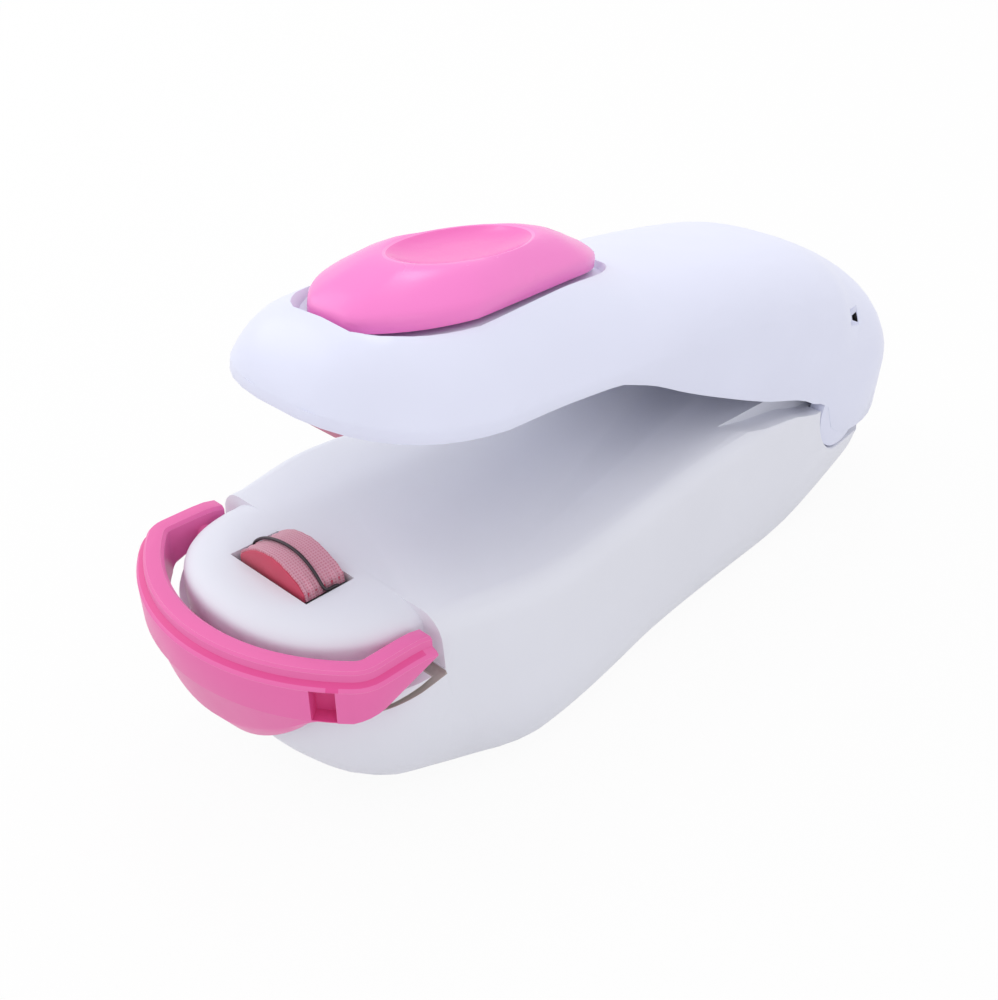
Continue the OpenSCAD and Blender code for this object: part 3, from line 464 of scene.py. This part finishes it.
# Heater block and switch
# A dark heat-proof block that slides in the nose, pushed up by a bowed leaf of spring steel.
# A brass rivet in its underside meets the plus strip and switches the heater on.
block_dark = moulded_plastic("dark_phenolic", (0.06, 0.055, 0.06), rough=0.55, grain=0.25, shine=0.3)
cast("block_moulding", "heater_block", block_dark, edge=0.00012)
cast("rivet_turned", "switch_rivet", brass, edge=0.00008)
leaf = cast("leaf_spring", "heater_spring", nickel, edge=0.00005)
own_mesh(leaf)


# Heater pad
# A cast strip of red silicone rubber, arched across the nose, that backs the wire against the bag.
# Its front face shows below the cloth.
def rubber(name, colour, sheen):
    """A cast silicone: matt and slightly mottled, with a soft sheen and a finely pitted skin."""
    made = bpy.data.materials.new(name)
    made.use_nodes = True
    tree = made.node_tree
    skin = tree.nodes["Principled BSDF"]
    place = Value(tree, tree.nodes.new("ShaderNodeTexCoord").outputs["Object"])
    mottle = place.node("ShaderNodeTexNoise", {}, {"Vector": place, "Scale": 380.0, "Detail": 4.0})
    pits = place.node("ShaderNodeTexNoise", {}, {"Vector": place, "Scale": 3000.0, "Detail": 2.0})
    deep = tuple(0.82 * part for part in colour)
    mottle.blend(deep, colour).feed(skin.inputs["Base Color"])
    (0.6 + 0.2 * (mottle - 0.5)).feed(skin.inputs["Roughness"])
    bump = place.node("ShaderNodeBump", {}, {"Height": pits, "Strength": 0.2, "Distance": 0.00004})
    bump.feed(skin.inputs["Normal"])
    skin.inputs["Sheen Weight"].default_value = sheen
    return made


red = rubber("red_silicone", (0.60, 0.05, 0.115), sheen=0.15)
cast("pad_rubber", "heater_pad", red, edge=0.00015)


# Glass cloth
# A strip of open glass cloth, tinted pale pink, stretched over the pad and tucked down at both ends.
# The red of the pad shows through its holes, and it puckers where it turns down.
ARCH_RADIUS = 0.008589
ARCH_AXIS_Z = 0.020411
PAD_HALF = 0.00585
PAD_FRONT = -0.04385
PAD_DEPTH = 0.0059
CLOTH_INSET = 0.0002
CLOTH_THICK = 0.00022
CLOTH_FOOT = 0.0254
CLOTH_SPLAY = 0.00018
CLOTH_STEPS = 48
CLOTH_RUNS = 30
THREAD = 0.00036
PUCKER = 0.00012
PUCKER_PITCH = 0.0011
PUCKER_START = 0.55
WAVER = 0.00006
WAVER_QUICK = 2900.0
WAVER_SLOW = 1300.0
CLOTH_PINK = (0.66, 0.34, 0.44)
CLOTH_RED = (0.50, 0.10, 0.17)

cloth_radius = ARCH_RADIUS - CLOTH_THICK / 2
half_arch = math.asin(PAD_HALF / cloth_radius)
cloth = bmesh.new()
shoulder = Vector((PAD_HALF, PAD_FRONT + CLOTH_INSET, ARCH_AXIS_Z + cloth_radius * math.cos(half_arch)))
first = bmesh.ops.create_vert(cloth, co=shoulder)["vert"]
bmesh.ops.spin(cloth, geom=first, cent=(0.0, 0.0, ARCH_AXIS_Z), axis=(0.0, -1.0, 0.0), angle=2 * half_arch,
               steps=CLOTH_STEPS)
ends = [point for point in cloth.verts if len(point.link_edges) == 1]
tucked = bmesh.ops.extrude_vert_indiv(cloth, verts=ends)
for point in tucked["verts"]:
    point.co += Vector((math.copysign(CLOTH_SPLAY, point.co.x), 0.0, CLOTH_FOOT - point.co.z))
bmesh.ops.subdivide_edges(cloth, edges=tucked["edges"], cuts=5)
weft = cloth.edges[:]
for _ in range(CLOTH_RUNS):
    grown = bmesh.ops.extrude_edge_only(cloth, edges=weft)["geom"]
    weft = [item for item in grown if isinstance(item, bmesh.types.BMEdge)]
    points = [item for item in grown if isinstance(item, bmesh.types.BMVert)]
    bmesh.ops.translate(cloth, verts=points, vec=(0.0, (PAD_DEPTH - 2 * CLOTH_INSET) / CLOTH_RUNS, 0.0))
mapped = cloth.loops.layers.uv.new("weave")
for face in cloth.faces:
    for loop in face.loops:
        spot = loop.vert.co
        turn = math.atan2(spot.x, spot.z - ARCH_AXIS_Z)
        bent = max(-half_arch, min(half_arch, turn))
        fall = math.copysign(shoulder.z - spot.z, turn) if abs(turn) > half_arch else 0.0
        loop[mapped].uv = (bent * cloth_radius + fall, spot.y)
for point in cloth.verts:
    past = abs(point.co.x) - PUCKER_START * PAD_HALF
    near_end = max(0.0, past / ((1.0 - PUCKER_START) * PAD_HALF)) ** 2
    outward = Vector((point.co.x, 0.0, point.co.z - ARCH_AXIS_Z)).normalized()
    phase = 2 * math.pi * (point.co.y - PAD_FRONT) / PUCKER_PITCH
    point.co += outward * PUCKER * near_end * (math.sin(phase) + 0.5 * math.sin(2.3 * phase + 1.0))
    point.co.y += WAVER * math.sin(WAVER_QUICK * point.co.x) * math.cos(WAVER_SLOW * point.co.x)
bmesh.ops.recalc_face_normals(cloth, faces=cloth.faces)
if sum(face.normal.z for face in cloth.faces) < 0.0:
    bmesh.ops.reverse_faces(cloth, faces=cloth.faces)
bmesh.ops.solidify(cloth, geom=cloth.faces[:], thickness=CLOTH_THICK)
cloth_mesh = bpy.data.meshes.new("cloth_strip")
cloth.to_mesh(cloth_mesh)
cloth.free()
cloth_mesh.shade_smooth()
cloth_mesh.set_sharp_from_angle(angle=math.radians(50))

gauze = bpy.data.materials.new("pink_glass_cloth")
gauze.use_nodes = True
gauze_skin = gauze.node_tree.nodes["Principled BSDF"]
laid = Value(gauze.node_tree, gauze.node_tree.nodes.new("ShaderNodeUVMap").outputs["UV"])
crosswise = laid.node("ShaderNodeSeparateXYZ", {}, {0: laid}, "X")
lengthwise = laid.node("ShaderNodeSeparateXYZ", {}, {0: laid}, "Y")
fuzz = laid.node("ShaderNodeTexNoise", {}, {"Vector": laid, "Scale": 1500.0, "Detail": 3.0})
warp = abs(laid.math("SINE", math.pi / THREAD * crosswise + 1.2 * fuzz))
woof = abs(laid.math("SINE", math.pi / THREAD * lengthwise + 1.2 * fuzz))
weave = laid.math("MAXIMUM", warp, woof)
thread = laid.math("POWER", weave, 2.2)
(0.25 + 0.75 * thread).blend(CLOTH_RED, CLOTH_PINK).feed(gauze_skin.inputs["Base Color"])
(0.72 + 0.2 * (fuzz - 0.5)).feed(gauze_skin.inputs["Roughness"])
woven = laid.node("ShaderNodeBump", {},
                  {"Height": 0.5 * (warp + woof), "Strength": 0.5, "Distance": 0.00012})
woven.feed(gauze_skin.inputs["Normal"])
gauze_skin.inputs["Sheen Weight"].default_value = 0.2
placed("cloth_strip", cloth_mesh, gauze, "pad_cloth")


# Heating wire
# A thin dark resistance wire over the crown of the cloth, turned down at both ends into the block.
# At the right end it makes a small loop before it goes down.
WIRE_THICK = 0.00040
WIRE_LIFT = 0.00003
WIRE_REACH = 0.0004
WIRE_SWAY = 0.0001
WIRE_STEPS = 24
WIRE_Y = PAD_FRONT + 0.42 * PAD_DEPTH
LEFT_END = ((0.00065, CLOTH_FOOT), (0.0006, 0.0263))
RIGHT_LOOP = ((0.00072, 0.0001, 0.0262), (0.00078, 0.0005, 0.02605), (0.00080, 0.0013, 0.0261),
              (0.00078, 0.0019, 0.02595), (0.00072, 0.0021, CLOTH_FOOT))
wire_radius = ARCH_RADIUS + WIRE_THICK / 2 + WIRE_LIFT
wire_turn = math.asin((PAD_HALF + WIRE_REACH) / wire_radius)
route = [Vector((-PAD_HALF - out, WIRE_Y, level)) for out, level in LEFT_END]
for step in range(WIRE_STEPS + 1):
    lean = wire_turn * (2 * step / WIRE_STEPS - 1)
    sway = WIRE_SWAY * math.sin(5.0 * lean)
    crown = ARCH_AXIS_Z + wire_radius * math.cos(lean)
    route.append(Vector((wire_radius * math.sin(lean), WIRE_Y + sway, crown)))
route += [Vector((PAD_HALF + out, WIRE_Y + behind, level)) for out, behind, level in RIGHT_LOOP]
wire_line = bpy.data.curves.new("wire_line", "CURVE")
wire_line.dimensions = "3D"
wire_line.bevel_depth = WIRE_THICK / 2
wire_line.bevel_resolution = 3
wire_line.use_fill_caps = True
wire_line.resolution_u = 4
strand = wire_line.splines.new("NURBS")
strand.points.add(len(route) - 1)
strand.order_u = 3
strand.use_endpoint_u = True
for knot, place_on_route in zip(strand.points, route):
    knot.co = (*place_on_route, 1.0)
wire_path = bpy.data.objects.new("wire_line", wire_line)
bpy.context.scene.collection.objects.link(wire_path)
bpy.context.view_layer.update()
wire_mesh = bpy.data.meshes.new_from_object(wire_path)
wire_mesh.name = "wire_drawn"
bpy.data.objects.remove(wire_path)
wire_mesh.shade_smooth()
oxide = drawn_metal("oxidised_wire", (0.09, 0.075, 0.085), rough=0.5, stretch=(0.2, 1.0, 1.0))
placed("wire_drawn", wire_mesh, oxide, "heating_wire")


# Arm shell
# The white ABS lever: a saucer round the button, a waist, and a boxy rear with ears that snap over the base.
# It is glossier than the base, and a small strap hole is moulded in its right flank.
hinge = next(joint for joint in frame["record"]["behaviour"]["joints"] if joint["name"] == "arm_hinge")
arm_open = math.radians(hinge["range_deg"][1])
CORE_RISE = 0.0195
arm_up = Vector((0.0, math.sin(arm_open), math.cos(arm_open)))
arm_back = Vector((0.0, math.cos(arm_open), -math.sin(arm_open)))
arm_core = (Vector(hinge["pos_m"]) + CORE_RISE * arm_up, arm_back)
STRAP_WALL = Vector((0.01562, 0.05465, 0.03118))
STRAP_FACING = Vector((0.71, -0.63, 0.31)).normalized()
STRAP_MATCH = 0.98
STRAP_LIP = 0.0001
STRAP_RISE = 0.45
STRAP_SHARE = 0.6
STRAP_DEPTH = 0.0022
STRAP_SHADE_COLOUR = (0.05, 0.045, 0.05)
STRAP_SHADE_CENTRE = 0.6
STRAP_SHADE_REACH = 0.65


def strap_painted_shade(place, shade):
    """Painted shade in the strap hole, below the wall of the dimple that it goes through."""
    level = offset_along(place, STRAP_WALL, STRAP_FACING)
    centre = STRAP_WALL - STRAP_SHADE_CENTRE * STRAP_DEPTH * STRAP_FACING
    away = place.node("ShaderNodeVectorMath", {"operation": "DISTANCE"}, {0: place, 1: centre}, "Value")
    inside = (level < -STRAP_LIP) * (away < STRAP_SHADE_REACH * STRAP_DEPTH)
    return inside.blend(shade, STRAP_SHADE_COLOUR)


# The inside of the strap hole is painted near black, as painted shade.
arm_white = moulded_plastic("white_arm_abs", (0.76, 0.785, 0.95), rough=0.34, grain=0.08, shine=0.35,
                            painted_light=strap_painted_shade)
arm = cast("arm_moulding", "arm_shell", arm_white, edge=0.0002, core=arm_core)
flank = bmesh.new()
flank.from_mesh(arm.data)
facing = [face for face in flank.faces if face.normal.dot(STRAP_FACING) > STRAP_MATCH]
wall = min(facing, key=lambda face: (face.calc_center_median() - STRAP_WALL).length)
bmesh.ops.inset_individual(flank, faces=[wall], thickness=STRAP_LIP, use_even_offset=True)
lowest = min((point.co for point in wall.verts), key=lambda co: co.z)
mouth = lowest.lerp(wall.calc_center_median(), STRAP_RISE)
bmesh.ops.scale(flank, verts=wall.verts[:], vec=(STRAP_SHARE,) * 3, space=Matrix.Translation(-mouth))
hole_end = bmesh.ops.extrude_discrete_faces(flank, faces=[wall])["faces"][0]
bmesh.ops.translate(flank, verts=hole_end.verts[:], vec=-STRAP_DEPTH * STRAP_FACING)
flank.to_mesh(arm.data)
flank.free()


# Arm plate and screws
# A flat plate of white ABS that closes the arm from below.
# Three small cross-head screws of plated steel hold it.
plate_white = moulded_plastic("white_plate_abs", (0.74, 0.75, 0.84), rough=0.45, grain=0.14, shine=0.3)
plated = drawn_metal("plated_screw_steel", (0.58, 0.58, 0.60), rough=0.34, stretch=(1.0, 1.0, 0.2))
cast("plate_moulding", "arm_plate", plate_white, edge=0.00015)
cast("screws_turned", "arm_screws", plated, edge=0.0001)


# Arm spring
# A coil of spring steel, wound from wire.
# It stands in a well of the base and pushes the arm open.
arm_coil = cast("arm_coil", "arm_spring", nickel)
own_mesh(arm_coil)


# Press button
# A glossy pink thumb button of ABS, with an oval dish for the thumb.
# It slides in the arm's saucer, and the jaw hangs from it.
DISH_MIDDLE = Vector((0.0, -0.012895, 0.057199))
DISH_HALF = (0.0063, 0.0125)
DISH_SHOULDER = 0.0025
DISH_REACH = 1.45
DISH_DRAWN = 0.86
DISH_SWELL = 0.0004
DISH_SHADE_PINK = (0.88, 0.17, 0.53)
RIM_HIGHLIGHT_PINK = (0.94, 0.285, 0.66)
RIM_INNER = 0.97
RIM_OUTER = 1.06
CORE_DROP = 0.003


def dish_shade_and_rim_highlight(place, shade):
    """A deeper pink in the oval dish, as painted shade, and a paler line along its rim, as a painted
    highlight.
    """
    across = offset_along(place, DISH_MIDDLE, (1.0, 0.0, 0.0)) * (1.0 / (DISH_DRAWN * DISH_HALF[0]))
    along = offset_along(place, DISH_MIDDLE, arm_back) * (1.0 / (DISH_DRAWN * DISH_HALF[1]))
    oval = across * across + along * along
    rim = (oval < RIM_OUTER) * (oval > RIM_INNER)
    return rim.blend((oval < RIM_INNER).blend(shade, DISH_SHADE_PINK), RIM_HIGHLIGHT_PINK)


# The dish is painted a deeper pink as painted shade, and its rim a paler pink as a painted highlight.
pink = moulded_plastic("pink_gloss_abs", (0.93, 0.235, 0.63), rough=0.24, grain=0.06, shine=0.3,
                       painted_light=dish_shade_and_rim_highlight)
button_core = (DISH_MIDDLE - CORE_DROP * arm_up, arm_back)
button = cast("button_moulding", "press_button", pink, edge=0.0002, core=button_core)
for vertex in button.data.vertices:
    off = vertex.co - DISH_MIDDLE
    reach = math.hypot(off.x / DISH_HALF[0], off.dot(arm_back) / DISH_HALF[1])
    if off.dot(arm_up) > -DISH_SHOULDER and reach < DISH_REACH:
        inner = min(1.0, (DISH_REACH - reach) / (DISH_REACH - 1.0))
        vertex.co -= (1.0 - DISH_DRAWN) * inner * (off - off.dot(arm_up) * arm_up)
        vertex.co += 4.0 * DISH_SWELL * inner * (1.0 - inner) * arm_up


# Jaw carrier and upper pad
# A white bar that hangs from the button's post on one screw.
# A cast strip of pink silicone under its front presses the bag on the wire.
pale_pink = rubber("pink_silicone", (0.66, 0.26, 0.36), sheen=0.1)
cast("carrier_moulding", "jaw_carrier", plate_white, edge=0.00015)
cast("carrier_screw_turned", "carrier_screw", plated, edge=0.0001)
cast("upper_pad_rubber", "upper_pad", pale_pink, edge=0.0002)


# Button spring
# A conical coil of spring steel, wound from thin wire.
# It stands round the button's post and lifts the button.
button_coil = cast("button_coil", "button_spring", nickel)
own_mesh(button_coil)


# Lock bail
# A bail of darker pink ABS round the nose, hung on two studs, with a ridge, a groove, a band and an apron.
# It flips up in front of the closed arm to lock it, and has a small blind window at each bend.
# Its ledge and the insides of its windows are painted deeper, as painted shade, in the colour that its
# corners get.
LEDGE_Z = 0.02405
LEDGE_SLACK = 0.0002
LEDGE_TILT = 0.5
WINDOW_MIDDLE = Vector((0.0159, -0.04908, 0.0213))
WINDOW_TURN = math.radians(36.87)
WINDOW_HALF = 0.00145
WINDOW_RISE = 0.0024
WINDOW_OUTER = -0.0021
WINDOW_INNER = 0.0003
window_across = Vector((math.cos(WINDOW_TURN), math.sin(WINDOW_TURN), 0.0))
window_inward = Vector((-math.sin(WINDOW_TURN), math.cos(WINDOW_TURN), 0.0))


def in_window(face):
    """Whether a face of the bail lies in one of its two windows."""
    away = Vector((abs(face.center.x), face.center.y, face.center.z)) - WINDOW_MIDDLE
    deep_enough = WINDOW_OUTER < away.dot(window_inward) < WINDOW_INNER
    return deep_enough and abs(away.dot(window_across)) < WINDOW_HALF and abs(away.z) < WINDOW_RISE


def on_ledge(face):
    """Whether a face of the bail lies on its ledge, below the ridge."""
    return abs(face.center.z - LEDGE_Z) < LEDGE_SLACK and face.normal.z > LEDGE_TILT


lock_pink = moulded_plastic("pink_lock_abs", (0.82, 0.165, 0.435), rough=0.36, grain=0.08, shine=0.18)
bail = cast("bail_moulding", "lock_bail", lock_pink, edge=0.0002)
# The ledge and the windows are marked as corners, so they take the deeper colour of painted shade.
shaded = bail.data.attributes["corner"].data
for polygon in bail.data.polygons:
    if in_window(polygon) or on_ledge(polygon):
        shaded[polygon.index].value = -1.0
